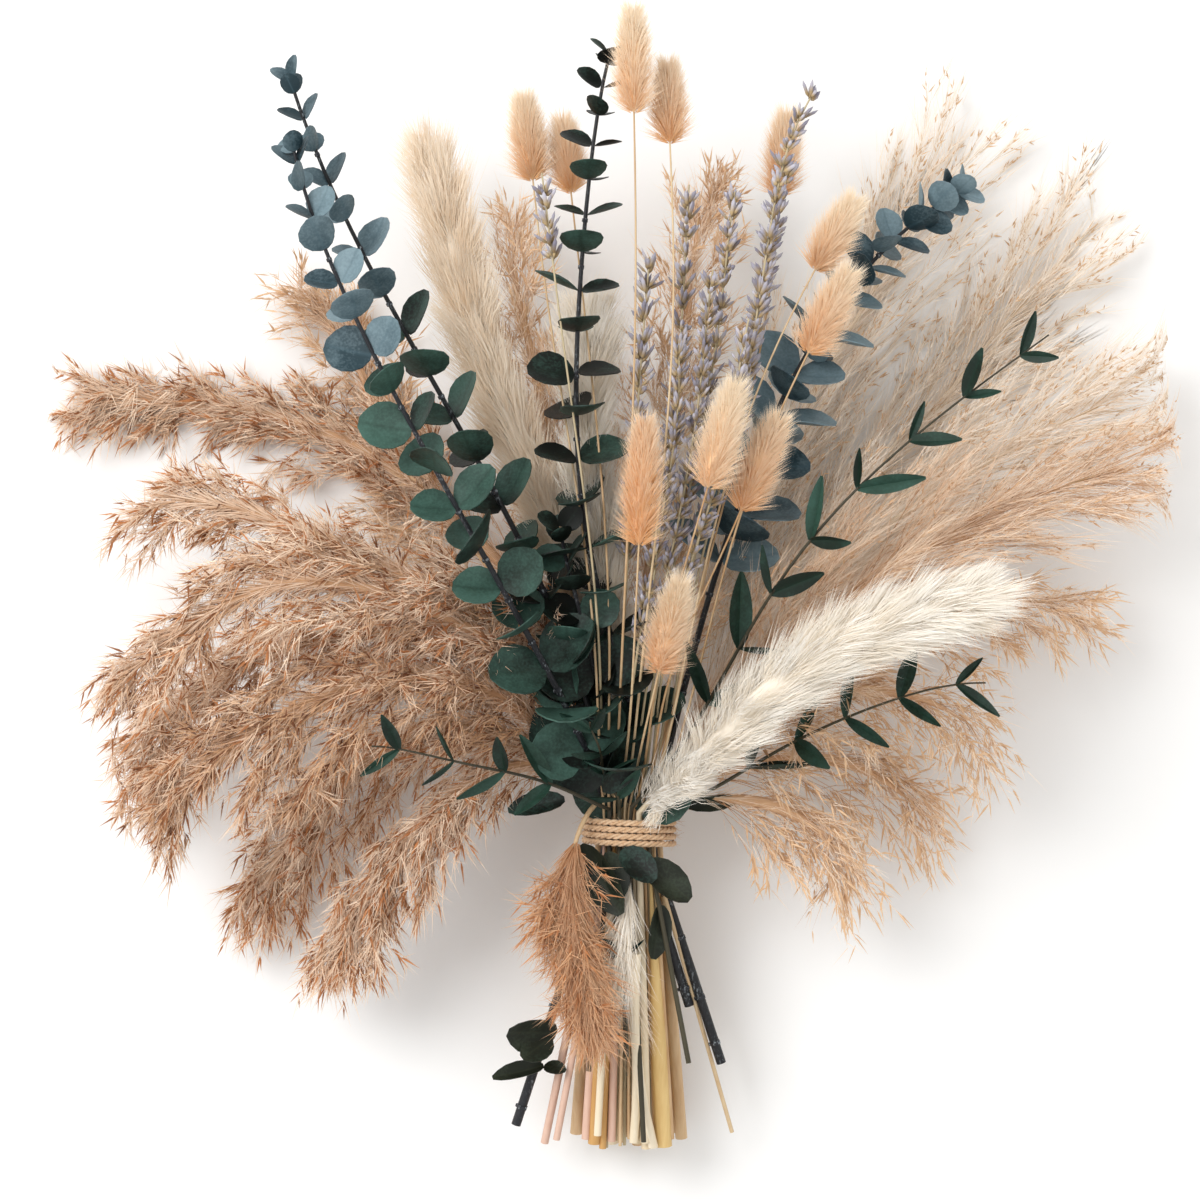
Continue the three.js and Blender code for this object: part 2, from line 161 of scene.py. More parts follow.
class Finish:  # a material and the way its nodes are added
    def __init__(self, name, roughness=0.8, sheen=0.0, specular=0.3):
        self.material = bpy.data.materials.new(name)
        self.material.use_nodes = True
        self.tree = self.material.node_tree
        self.shader = self.tree.nodes["Principled BSDF"]
        self.shader.inputs["Roughness"].default_value = roughness
        self.shader.inputs["Sheen Weight"].default_value = sheen
        self.shader.inputs["Specular IOR Level"].default_value = specular

    def node(self, kind, settings, sockets, output=0):
        node = self.tree.nodes.new(kind)
        for name, value in settings.items():
            if name == "stops":
                while len(node.color_ramp.elements) < len(value):
                    node.color_ramp.elements.new(0.5)
                for stop, (place, colour) in zip(node.color_ramp.elements, value):
                    stop.position, stop.color = place, colour
            else:
                setattr(node, name, value)
        for name, value in sockets.items():
            if isinstance(value, Value):
                self.tree.links.new(value.socket, node.inputs[name])
            else:
                node.inputs[name].default_value = value
        return Value(self.tree, node.outputs[output])

    def attribute(self, name):
        return self.node("ShaderNodeAttribute", {"attribute_name": name}, {}, "Fac")

    def place(self):
        return self.node("ShaderNodeTexCoord", {}, {}, "Object")

    def noise(self, scale, detail=3.0, stretch=(1, 1, 1)):
        mapped = self.node("ShaderNodeMapping", {}, {"Vector": self.place(), "Scale": stretch})
        sockets = {"Vector": mapped, "Scale": scale, "Detail": detail}
        return self.node("ShaderNodeTexNoise", {}, sockets, "Fac")

    def mix(self, amount, first, second, blend="MIX"):
        settings = {"data_type": "RGBA", "blend_type": blend}
        return self.node("ShaderNodeMix", settings, {0: amount, 6: first, 7: second}, 2)

    def ramp(self, amount, stops):
        return self.node("ShaderNodeValToRGB", {"stops": stops}, {"Fac": amount})

    def wear(self, colour=None, roughness=None, height=None, strength=0.4, depth=0.0004):
        if colour:
            self.tree.links.new(colour.socket, self.shader.inputs["Base Color"])
        if roughness:
            self.tree.links.new(roughness.socket, self.shader.inputs["Roughness"])
        if height:
            sockets = {"Height": height, "Strength": strength, "Distance": depth}
            bump = self.node("ShaderNodeBump", {}, sockets)
            self.tree.links.new(bump.socket, self.shader.inputs["Normal"])
        return self.material


def strandFinish(name, dark, pale, tipColour, tipShare=0.5, roughness=0.75, sheen=0.15):
    finish = Finish(name, roughness, sheen, specular=0.25)
    tint = finish.attribute("tint")
    along = finish.attribute("along")
    body = finish.mix(tint, tone(dark), tone(pale))
    return finish.wear(finish.mix(along * along * tipShare, body, tone(tipColour)))


def stalkFinish(name, dark, pale, roughness=0.6):
    finish = Finish(name, roughness, specular=0.35)
    streaks = finish.noise(700, 4, (1, 0.05, 1))
    blotches = finish.noise(60)
    tint = finish.attribute("tint")
    mixed = (streaks * 0.55 + blotches * 0.35 + tint * 0.45 - 0.2).clipped()
    return finish.wear(finish.mix(mixed, tone(dark), tone(pale)), height=streaks, strength=0.35)


def barkFinish():
    finish = Finish("eucalyptusBark", 0.5, specular=0.4)
    grain = finish.noise(1300, 5, (1, 0.5, 1))
    bloom = finish.ramp(grain, [(0.54, (0, 0, 0, 1)), (0.66, (1, 1, 1, 1))])
    patch = finish.ramp(finish.noise(95, 2), [(0.48, (0.05, 0.05, 0.05, 1)), (0.66, (0.7, 0.7, 0.7, 1))])
    tint = finish.attribute("tint")
    amount = finish.mix(1.0, bloom, finish.mix((tint * 4 - 3).clipped(), patch, (1, 1, 1, 1)), "MULTIPLY")
    wood = finish.mix(tint, tone("101114"), tone("24252b"))
    return finish.wear(finish.mix(amount, wood, tone("8f979c")), height=grain, strength=0.6)


def leafFinish(name, dark, pale, bloom, bloomShare, roughness=0.5):
    finish = Finish(name, roughness, specular=0.3)
    tint = finish.attribute("tint")
    across = abs(finish.attribute("across"))
    along = finish.attribute("along")
    cloud = finish.noise(90, 4)
    grain = finish.noise(900, 3)
    colour = finish.mix((tint * 0.75 + cloud * 0.5 - 0.2).clipped(), tone(dark), tone(pale))
    fleck = finish.ramp(grain, [(0.42, (0, 0, 0, 1)), (0.62, (1, 1, 1, 1))])
    waxy = (bloomShare * tint + cloud * 0.9 + fleck * 0.14 - 0.62 + along * 0.1).clipped()
    colour = finish.mix(waxy, colour, tone(bloom))
    rib = (1 - across * 16).clipped() * 0.35
    colour = finish.mix(rib, colour, tone(pale))
    veins = finish.node("ShaderNodeTexWave", {"wave_type": "BANDS"}, {"Scale": 260, "Distortion": 6.0}, "Fac")
    height = grain * 0.5 + veins * 0.08 - rib
    return finish.wear(colour, roughness=cloud * 0.25 + roughness - 0.1, height=height, strength=0.3)


def furFinish(name, dark, pale, tipColour):
    finish = Finish(name, 0.85, 0.3, specular=0.2)
    tint = finish.attribute("tint")
    streaks = finish.noise(520, 4)
    body = finish.mix((tint * 0.8 + streaks * 0.2 - 0.05).clipped(), tone(dark), tone(pale))
    colour = finish.mix(finish.attribute("along") * 0.75, body, tone(tipColour))
    return finish.wear(colour, height=streaks, strength=0.5)


def budFinish():
    finish = Finish("lavenderBud", 0.8, 0.2, specular=0.2)
    tint = finish.attribute("tint")
    along = finish.attribute("along")
    violet = finish.mix(tint, tone("7d7988"), tone("c3c0ca"))
    calyx = finish.mix(tint, tone("8a7350"), tone("c4ab80"))
    grain = finish.noise(900, 3)
    return finish.wear(finish.mix((along * 2.6 - 0.8).clipped(), calyx, violet), height=grain, strength=0.4)


def twineFinish():
    finish = Finish("juteTwine", 0.9, 0.2, specular=0.15)
    fibres = finish.noise(1500, 4, (1, 0.4, 1))
    tint = finish.attribute("tint")
    mixed = (fibres * 0.9 + tint * 0.5 - 0.3).clipped()
    return finish.wear(finish.mix(mixed, tone("c4976a"), tone("f8dfc0")), height=fibres, strength=0.9)


addCamera()
addStudio()
strandTones = {  # dark, pale, tip, then how much of the tip colour and the roughness
    "reedHair": ("c99c74", "fbe5cd", "fff3e4"),
    "rustHair": ("a9693b", "e2b68c", "f5dcc0"),
    "reedSpikelet": ("6a3a1e", "c98450", "dcae84", 0.4, 0.6),
    "reedCore": ("a67a55", "d6ae88", "d6ae88"),
    "paleSpikelet": ("ab7a52", "e2bd96", "d9bc9c", 0.5, 0.6),
    "grassHair": ("e3c6a8", "fdf2e4", "fff9f0"),
    "grassSpikelet": ("a3754c", "dcb890", "cbb094", 0.5, 0.6),
    "grassCore": ("cdb394", "e6d3b8", "e6d3b8"),
    "creamHair": ("f0dfc4", "fffbf4", "fffefa"),
    "creamCore": ("e9dac2", "f9f1e4", "f9f1e4"),
    "peachHair": ("efd3b0", "fcefdc", "fff6ea"),
    "tailFur": ("eab57c", "fbead0", "fff6e6", 0.75),
}
finishes = {name: strandFinish(name, *tones) for name, tones in strandTones.items()}
finishes |= {
    "tailCore": furFinish("tailCore", "e6b07a", "f3cfa4", "f7e0c0"),
    "bud": budFinish(),
    "straw": stalkFinish("strawStem", "a8753f", "ecdcb8"),
    "lavenderStem": stalkFinish("lavenderStem", "a08f6e", "d8caa8"),
    "reedStalk": stalkFinish("reedStalk", "b98d60", "eed7b0"),
    "yellowStalk": stalkFinish("yellowStalk", "c0904a", "efd69a"),
    "pinkStalk": stalkFinish("pinkStalk", "c49680", "ecd0be"),
    "tanStalk": stalkFinish("tanStalk", "b5854a", "e2b879"),
    "paleStalk": stalkFinish("paleStalk", "d6c19c", "f7ecd6"),
    "cut": stalkFinish("cutEnd", "c8a877", "f0deb8", 0.85),
    "bark": barkFinish(),
    "darkCut": stalkFinish("darkCutEnd", "6d5a45", "a89274", 0.85),
    "darkLeaf": leafFinish("eucalyptusLeaf", "060a07", "15251b", "50766a", 0.55),
    "blueLeaf": leafFinish("eucalyptusBlueLeaf", "1f3239", "4a636d", "8fa5ad", 0.6),
    "narrowLeaf": leafFinish("narrowLeaf", "0c1a12", "213c2f", "3f665a", 0.3),
    "duskLeaf": leafFinish("duskLeaf", "12170f", "343a2a", "4f5d4c", 0.3),
    "twigBark": stalkFinish("twigBark", "28241d", "55503c"),
    "twine": twineFinish(),
}
finishOrder = list(finishes)
print("finishes made:", len(finishes))


# small shapes, made once and copied many times


def shapeFrom(bm, cutSlot=False):  # points, triangles, and which triangles are cut ends
    layer = bm.faces.layers.int.new("cut")
    bmesh.ops.recalc_face_normals(bm, faces=bm.faces[:])
    for face in bm.faces:
        face[layer] = int(cutSlot and abs(face.normal.z) > 0.9)
    bmesh.ops.triangulate(bm, faces=bm.faces[:])
    bm.verts.index_update()
    points = np.array([vert.co[:] for vert in bm.verts])
    faces = np.array([[vert.index for vert in face.verts] for face in bm.faces])
    cut = np.array([face[layer] for face in bm.faces], bool)
    bm.free()
    return points, faces, cut


def strandShape(rings):  # a long hair from z 0 to z 1, widest near its root
    bm = bmesh.new()
    bmesh.ops.create_cone(bm, segments=3, radius1=1, radius2=1, depth=1)
    long = [edge for edge in bm.edges if abs(edge.verts[0].co.z - edge.verts[1].co.z) > 0.5]
    if rings > 2:
        bmesh.ops.subdivide_edges(bm, edges=long, cuts=rings - 2)
    bmesh.ops.translate(bm, vec=(0, 0, 0.5), verts=bm.verts)
    for level, tipHeight in ((0, -0.12), (1, 1.12)):
        end = [vert for vert in bm.verts if abs(vert.co.z - level) < 1e-4]
        tip = bmesh.ops.create_vert(bm, co=(0, 0, tipHeight))["vert"][0]
        rim = [edge for edge in bm.edges if edge.verts[0] in end and edge.verts[1] in end]
        for edge in rim:
            bm.faces.new((edge.verts[0], edge.verts[1], tip))
    top = max(vert.co.z for vert in bm.verts)
    low = min(vert.co.z for vert in bm.verts)
    for vert in bm.verts:
        vert.co.z = (vert.co.z - low) / (top - low)
        swell = 1 - 0.55 * vert.co.z
        vert.co.x *= swell
        vert.co.y *= swell
    return shapeFrom(bm)


def spindleShape(belly):  # a hair or spikelet that is pointed at both ends
    bm = bmesh.new()
    bmesh.ops.create_circle(bm, segments=3, radius=1)
    bmesh.ops.translate(bm, vec=(0, 0, belly), verts=bm.verts)
    rim = bm.edges[:]
    for height in (0, 1):
        tip = bmesh.ops.create_vert(bm, co=(0, 0, height))["vert"][0]
        for edge in rim:
            bm.faces.new((*edge.verts, tip))
    return shapeFrom(bm)


def hairShape():  # the plainest hair: three sides and a closed root
    bm = bmesh.new()
    bmesh.ops.create_cone(bm, cap_ends=True, segments=3, radius1=1, radius2=0, depth=1)
    bmesh.ops.remove_doubles(bm, verts=bm.verts[:], dist=1e-4)
    bmesh.ops.translate(bm, vec=(0, 0, 0.5), verts=bm.verts)
    return shapeFrom(bm)


def tubeShape(rings, sides):  # a closed tube from z 0 to z 1 with a hollow cut at z 0
    bm = bmesh.new()
    bmesh.ops.create_cone(bm, cap_ends=True, segments=sides, radius1=1, radius2=1, depth=1)
    long = [edge for edge in bm.edges if abs(edge.verts[0].co.z - edge.verts[1].co.z) > 0.5]
    bmesh.ops.subdivide_edges(bm, edges=long, cuts=rings - 1)
    bmesh.ops.translate(bm, vec=(0, 0, 0.5), verts=bm.verts)
    bottom = [face for face in bm.faces if len(face.verts) == sides and face.calc_center_median().z < 1e-4]
    bmesh.ops.inset_individual(bm, faces=bottom, thickness=0.3, use_even_offset=True)
    bmesh.ops.translate(bm, vec=(0, 0, 0.012), verts=bottom[0].verts)
    return shapeFrom(bm, cutSlot=True)


def budShape():
    bm = bmesh.new()
    bmesh.ops.create_uvsphere(bm, u_segments=5, v_segments=3, radius=0.5)
    bmesh.ops.translate(bm, vec=(0, 0, 0.5), verts=bm.verts)
    bmesh.ops.scale(bm, vec=(2, 2, 1), verts=bm.verts)
    return shapeFrom(bm)


def roundLeafShape():  # grows along +X from the stem at the origin, with its face up
    bm = bmesh.new()
    bmesh.ops.create_circle(bm, cap_ends=True, segments=14, radius=0.5)
    bmesh.ops.inset_individual(bm, faces=bm.faces[:], thickness=0.2)
    bmesh.ops.poke(bm, faces=[face for face in bm.faces if len(face.verts) > 4])
    bmesh.ops.translate(bm, vec=(0.5, 0, 0), verts=bm.verts)
    for vert in bm.verts:
        x, y, _ = vert.co
        vert.co.x += 0.05 * max(0, x - 0.75) * (1 - abs(y) * 4) * 4
        vert.co.z = 0.55 * y * y + 0.14 * (x - 0.35) ** 2
    bmesh.ops.recalc_face_normals(bm, faces=bm.faces[:])
    bmesh.ops.solidify(bm, geom=bm.faces[:], thickness=0.022)
    return shapeFrom(bm)


def narrowLeafShape():
    bm = bmesh.new()
    bmesh.ops.create_grid(bm, x_segments=8, y_segments=4, size=0.5)
    bmesh.ops.translate(bm, vec=(0.5, 0, 0), verts=bm.verts)
    for vert in bm.verts:
        x, y, _ = vert.co
        width = (math.sin(math.pi * min(1, x * 0.94 + 0.03) ** 0.85) ** 0.8) * 0.36 + 0.008
        vert.co.y = y * width
        vert.co.z = abs(y) * width * 0.5 + 0.12 * x * x
    bmesh.ops.solidify(bm, geom=bm.faces[:], thickness=0.012)
    return shapeFrom(bm)


shapes = {
    "hair": hairShape(),
    "softHair": spindleShape(0.4),
    "spikelet": spindleShape(0.3),
    "longHair": strandShape(3),
    "branchlet": strandShape(4),
    "bud": budShape(),
    "stem": tubeShape(26, 7),
    "foot": tubeShape(16, 9),
    "straw": tubeShape(6, 7),
    "core": tubeShape(14, 8),
    "roundLeaf": roundLeafShape(),
    "narrowLeaf": narrowLeafShape(),
}
print("shapes made:", {name: len(shape[1]) for name, shape in shapes.items()})


# routes of the stems, read from the frame


def unit(vectors):
    return vectors / np.maximum(np.linalg.norm(vectors, axis=-1, keepdims=True), 1e-9)


spare = (cadHigh - cadLow) * 0.03 + Vector((9 * mm, 9 * mm, 9 * mm))
roomLow, roomHigh = np.array(cadLow - spare), np.array(cadHigh + spare)
roomLow[2] = floorGap
twineLow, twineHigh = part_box("jute_twine")
tie = np.array((twineLow + twineHigh) / 2)
grip = 0.009  # stems run straight this far each side of the tie
bunchRadius = 0.018  # the stems stay inside this at the tie
footSpread = 0.012  # how far below-tie stems may stand out, besides half their drop
routeSteps = 26


def fromTie(*place):  # a place given in mm from the middle of the tie
    return tie + np.array(place) * mm


class Route:  # the middle line of a plant, from its cut end to its tip
    def __init__(self, node):
        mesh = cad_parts[node].data
        flat = np.zeros(len(mesh.vertices) * 3, np.float32)
        mesh.vertices.foreach_get("co", flat)
        points = np.unique(np.round(flat.reshape(-1, 3), 5), axis=0) - tie
        below = (points[:, 1] < -grip + mm) & (np.abs(points[:, 0]) < -0.5 * points[:, 1] + footSpread)
        inGrip = (np.abs(points[:, 1]) < grip + mm) & (np.hypot(points[:, 0], points[:, 2]) < bunchRadius)
        slot = points[inGrip][:, [0, 2]].mean(axis=0)
        foot = points[below & (points[:, 1] < points[below][:, 1].min() + 3 * mm)]
        self.footRadius = float(np.ptp(foot[:, 0]) / 2)
        ends = [foot.mean(axis=0), (slot[0], -grip, slot[1]), (slot[0], 0, slot[1]), (slot[0], grip, slot[1])]
        above = points[~below & ~inGrip & (np.linalg.norm(points, axis=1) > 1.6 * grip)]
        anchor = np.repeat([ends[3]], 40, axis=0)  # holds the curve to the tie
        known = np.concatenate([anchor, above])
        far = np.linalg.norm(known, axis=1)
        fit = np.polyfit(far, known, 5)
        steps = np.linspace(far.min() + 6 * mm, far.max(), routeSteps)
        grown = sum(fit[5 - power] * steps[:, None] ** power for power in range(6))
        self.line = np.concatenate([ends, grown]) + tie
        spans = np.linalg.norm(np.diff(self.line, axis=0), axis=1)
        self.far = np.concatenate([[0], np.cumsum(spans)])
        self.length, self.tieFar = self.far[-1], self.far[2]

    def shift(self, drift):  # eases the head sideways, more towards its tip
        share = ((self.far - self.tieFar) / (self.length - self.tieFar)).clip(0, 1)[:, None]
        self.line = self.line + np.array(drift) * mm * share

    def at(self, far):
        return np.stack([np.interp(far, self.far, self.line[:, i]) for i in range(3)], axis=-1)

    def ways(self, far):  # along the stem, level to the right of it, and up from it
        along = unit(self.at(far + 4 * mm) - self.at(far - 4 * mm) + 1e-9)
        side = unit(np.cross(along, (0, 0, 1.0)))
        return along, side, np.cross(side, along)


def keepInside(points):  # eases ends in from the sides and lays them on the surface
    points = points.copy()
    soft = 22 * mm
    for i in (0, 1):
        for way, edge in ((1, roomHigh[i]), (-1, roomLow[i])):
            past = (points[:, i] - edge) * way + soft
            points[:, i] = np.where(past > 0, edge + way * (soft * np.tanh(past / soft) - soft), points[:, i])
    rest = 1.6 * mm
    low = points[:, 2] < rest * 2
    points[:, 2] = np.where(low, rest * (1 + np.tanh((points[:, 2] - rest * 2) / rest / 4)), points[:, 2])
    return points


class Growth:  # gathers bent and placed copies of small shapes into one piece
    def __init__(self, node, seed=None):
        self.node, self.parts = node, []
        self.dice = np.random.default_rng(seed or sum(map(ord, node)) * 7)
        self.route = None if seed else Route(node)  # only the twine has its own seed, and no stem

    def keep(self, points, shape, finish, tints, along, across, cutFinish=None):
        copies, count = points.shape[:2]
        faces = shape[1][None] + (np.arange(copies) * count)[:, None, None]
        slots = np.full((copies, len(shape[1])), finishOrder.index(finish))
        if cutFinish:
            slots[:, shape[2]] = finishOrder.index(cutFinish)
        spread = np.broadcast_to(np.asarray(tints, float).reshape(-1, 1), (copies, count))
        self.parts.append((points, faces, slots, spread, along, across))

    def strands(self, shape, finish, roots, bends, tips, widths, tints):
        local = shapes[shape][0]
        roots, bends, tips = [keepInside(points) for points in (roots, bends, tips)]
        t = local[None, :, 2:3]
        line = roots[:, None] * (1 - t) ** 2 + bends[:, None] * 2 * t * (1 - t) + tips[:, None] * t**2
        way = unit(tips - roots)
        side = unit(np.cross(way, (0.31, 0.17, 0.94)))
        flat = side[:, None] * local[None, :, 0:1] + np.cross(way, side)[:, None] * local[None, :, 1:2]
        points = line + flat * np.asarray(widths).reshape(-1, 1, 1)
        along = np.broadcast_to(local[:, 2], points.shape[:2])
        self.keep(points, shapes[shape], finish, tints, along, along * 0)

    def tube(self, shape, finish, fars, radii, tint, cutFinish=None):  # bent along the route
        local = shapes[shape][0]
        far = np.interp(local[:, 2], np.linspace(0, 1, len(fars)), fars)
        radius = np.interp(local[:, 2], np.linspace(0, 1, len(radii)), radii)[:, None]
        _, side, up = self.route.ways(far)
        points = self.route.at(far) + (side * local[:, 0:1] + up * local[:, 1:2]) * radius
        along = local[None, :, 2]
        self.keep(points[None], shapes[shape], finish, [tint], along, along * 0, cutFinish)

    def leaves(self, shape, finish, places, ways, faces, lengths, widths, tints):
        local = shapes[shape][0]
        across = unit(np.cross(faces, ways))
        faces = np.cross(ways, across)
        size = np.asarray(lengths).reshape(-1, 1, 1)
        wide = np.asarray(widths).reshape(-1, 1, 1)
        points = (
            places[:, None]
            + ways[:, None] * local[None, :, 0:1] * size
            + across[:, None] * local[None, :, 1:2] * wide
            + faces[:, None] * local[None, :, 2:3] * size
        )
        copies = points.shape[:2]
        along = np.broadcast_to(local[:, 0], copies)
        edge = np.broadcast_to(local[:, 1], copies)
        self.keep(points, shapes[shape], finish, tints, along, edge)

    def build(self, sharp=70):
        points = np.concatenate([part[0].reshape(-1, 3) for part in self.parts])
        offsets = np.cumsum([0] + [part[0].shape[0] * part[0].shape[1] for part in self.parts])
        faces = np.concatenate([part[1].reshape(-1, 3) + start for part, start in zip(self.parts, offsets)])
        points = points.clip(roomLow, roomHigh)
        mesh = bpy.data.meshes.new(self.node + "_dried")
        mesh.vertices.add(len(points))
        mesh.vertices.foreach_set("co", points.astype(np.float32).ravel())
        mesh.loops.add(faces.size)
        mesh.loops.foreach_set("vertex_index", faces.astype(np.int32).ravel())
        mesh.polygons.add(len(faces))
        mesh.polygons.foreach_set("loop_start", np.arange(0, faces.size, 3, dtype=np.int32))
        slots = np.concatenate([part[2].ravel() for part in self.parts])
        used, indices = np.unique(slots, return_inverse=True)
        for index in used:
            mesh.materials.append(finishes[finishOrder[index]])
        mesh.update(calc_edges=True)
        mesh.polygons.foreach_set("material_index", indices.astype(np.int32).ravel())
        mesh.polygons.foreach_set("use_smooth", np.ones(len(faces), bool))
        for name, column in (("tint", 3), ("along", 4), ("across", 5)):
            spread = [np.broadcast_to(part[column], part[0].shape[:2]).ravel() for part in self.parts]
            values = np.concatenate(spread).astype(np.float32)
            mesh.attributes.new(name, "FLOAT", "POINT").data.foreach_set("value", values)
        mesh.set_sharp_from_angle(angle=math.radians(sharp))
        mesh.validate()
        piece = bpy.data.objects.new(self.node + "_dried", mesh)
        bpy.context.scene.collection.objects.link(piece)
        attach(piece, "root")
        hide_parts(self.node)
        print("made", self.node, len(faces))
        return len(faces)


def scatter(dice, count, spread):  # loose random directions
    return dice.normal(0, spread, (count, 3))


def turned(first, second, angle):  # the first direction, turned towards the second
    return first * np.cos(angle)[:, None] + second * np.sin(angle)[:, None]


def curvePoint(roots, bends, tips, t):
    t = t[:, None]
    return roots * (1 - t) ** 2 + bends * 2 * t * (1 - t) + tips * t**2


def curveWay(roots, bends, tips, t):
    t = t[:, None]
    return unit((bends - roots) * (1 - t) + (tips - bends) * t)


def rows(keys, table):  # names the columns of a table that has a row for each plant
    return {plant: dict(zip(keys.split(), row)) for plant, row in table.items()}


# stalks

stalks = rows("finish cut tie tip", {
    "reed": ("reedStalk", "cut", 1.35, 0.5),
    "grass": ("reedStalk", "cut", 1.35, 0.4),
    "pampas": ("paleStalk", "cut", 1.35, 0.5),
    "eucalyptus": ("bark", "darkCut", 1.5, 0.7),
    "narrowleaf": ("twigBark", "darkCut", 0.9, 0.35),
    "lavender": ("lavenderStem", "cut", 0.6, 0.35),
    "tail": ("straw", "cut", 0.6, 0.35),
})
thickFeet = {  # the stalks that show below the tie: finish, radius at the cut end
    "tail_far_left": ("pinkStalk", 1.8),
    "tail_top_left": ("tanStalk", 2.6),
    "tail_top": ("tanStalk", 1.5),
    "tail_tan": ("pinkStalk", 1.7),
    "tail_middle": ("paleStalk", 1.5),
    "tail_middle_right": ("paleStalk", 2.1),
    "tail_right_top": ("yellowStalk", 3.5),
    "tail_right": ("straw", 1.0),
    "reed_left_short": ("pinkStalk", 2.3),
    "pampas_front": ("paleStalk", 2.2),
}


stemStop = 10 * mm  # the stem of a plume stops this far before its tip
footSteps, stemSteps, coreSteps = 16, 26, 14


def addStalk(growth, until=None):
    look = stalks[growth.node.split("_")[0]]
    route = growth.route
    finish, radius = thickFeet.get(growth.node, (look["finish"], route.footRadius / mm))
    cut = look["cut"]
    tint = growth.dice.random() * 0.7
    below = np.linspace(0, route.tieFar + 2 * mm, footSteps)
    radii = (radius, radius * 0.97, look["tie"], look["tie"])
    swell = np.interp(np.linspace(0, 1, footSteps), (0, 0.35, 0.8, 1), radii)
    growth.tube("foot", finish, below, swell * mm, tint, cut)
    above = np.linspace(route.tieFar, until or route.length, stemSteps)
    radii = np.linspace(look["tie"], look["tip"], stemSteps)
    growth.tube("stem", look["finish"], above, radii * mm, tint, cut)


# reed plumes and airy grass

# shade: how much darker the twigs near the stem are painted, as painted shade inside the plume
reed = {
    "branchlets": 48, "twigs": 340, "spikelets": 1300, "hairs": 5300, "angle": 0.6, "flat": 0.62, "twig": 17,
    "twigSplay": 0.42, "spikelet": 8.5, "spikeletWidth": 0.45, "splay": 0.34, "hair": 9.5, "hairWidth": 0.24,
    "hairSplay": 0.42, "core": 2.6, "low": 0.12, "taper": 0.66, "tipward": 0.8, "shade": 1.0,
}
looseReed = {
    **reed, "twigs": 300, "spikelets": 1150, "hairs": 3300, "twig": 21, "hairWidth": 0.16, "tipward": 0.6,
}
softReed = {**reed, "hairs": 8500, "spikelets": 700, "hair": 11, "hairSplay": 0.5}
sparseReed = {**looseReed, "twigs": 210, "spikelets": 820, "hairs": 1150, "twig": 25}
# head: length of the plume; reach: longest branchlet; tint: below 0 is darker; droop: towards the feet
reedHeads = rows("head reach tint droop shift", {
    "reed_left_top": (185, 44, 0.0, 0.1),
    "reed_back_left": (170, 50, 0.1, 0.1),
    "reed_left_foot": (160, 58, 0.05, 0.35),
    "reed_left_low": (205, 60, 0.0, 0.3),
    "reed_back_middle": (225, 52, 0.5, 0.0),
    "reed_right_upper": (180, 50, 0.4, 0.2),
    "reed_right_foot": (100, 41, 0.5, 0.35),
    "reed_left_hanging": (135, 48, 0.0, 0.4),
    "reed_left_upper": (210, 60, 0.05, 0.2),
    "reed_back_centre": (215, 40, 0.45, 0.0),
    "reed_right_middle": (140, 46, 0.5, 0.35),
    "reed_right_hanging": (72, 33, 0.5, 0.4),
    "reed_left_short": (64, 18, 0.12, 0.25, (27, -17, 19)),
    # reed_left_front's low tint is painted shade, for the shaded middle of the mass
    "reed_left_front": (205, 62, -0.35, 0.3),
    "reed_left_middle": (225, 62, -0.05, 0.25),
})


fullHead = 160  # a head this long gets the counts given above


def addAlongTwigs(growth, twigs, tint, fine):  # spikelets or silky hairs, each at a place on a twig
    dice, number = growth.dice, fine["number"]
    pick = dice.integers(0, len(twigs[0]), number)
    base, bends, tips, clump = [part[pick] for part in twigs]
    t = fine["low"] + (fine["high"] - fine["low"]) * dice.random(number)
    place = curvePoint(base, bends, tips, t)
    if fine["loose"]:
        place = place + scatter(dice, number, fine["loose"])
    splay = unit(curveWay(base, bends, tips, t) + scatter(dice, number, fine["splay"]))
    size = fine["size"] * mm * (0.6 + fine["sizeSpread"] * dice.random(number))[:, None]
    # clump carries each twig's own tone, with the painted shade near the stem added in
    tint = (dice.random(number) * 0.5 + clump * 0.5 + tint).clip(0, 1)
    ends = place + (splay + fine["droop"]) * size
    width = fine["width"] * mm * (0.7 + 0.6 * dice.random(number))
    growth.strands(fine["shape"], fine["finish"], place, place + splay * size * 0.5, ends, width, tint)


def addFluff(growth, look, head, start, finish):  # short hairs along the stem itself
    dice, route = growth.dice, growth.route
    number = int(look["hairs"] * 0.2 * headScale(head))
    far = start + dice.random(number) * (route.length - start)
    along, side, up = route.ways(far)
    out = turned(side, up, dice.random(number) * 2 * math.pi)
    place = route.at(far) + out * 1.5 * mm
    way = unit(along + out * (0.25 + 0.5 * dice.random(number))[:, None])
    size = look["hair"] * mm * (1.0 + 0.9 * dice.random(number))[:, None]
    width = look["hairWidth"] * mm * (0.8 + 0.6 * dice.random(number))
    tint = (dice.random(number) * 0.8 + head["tint"]).clip(0, 1)
    growth.strands("hair", finish, place, place + way * size * 0.5, place + way * size, width, tint)


def headScale(head):
    return 0.4 + 0.6 * head["head"] / fullHead


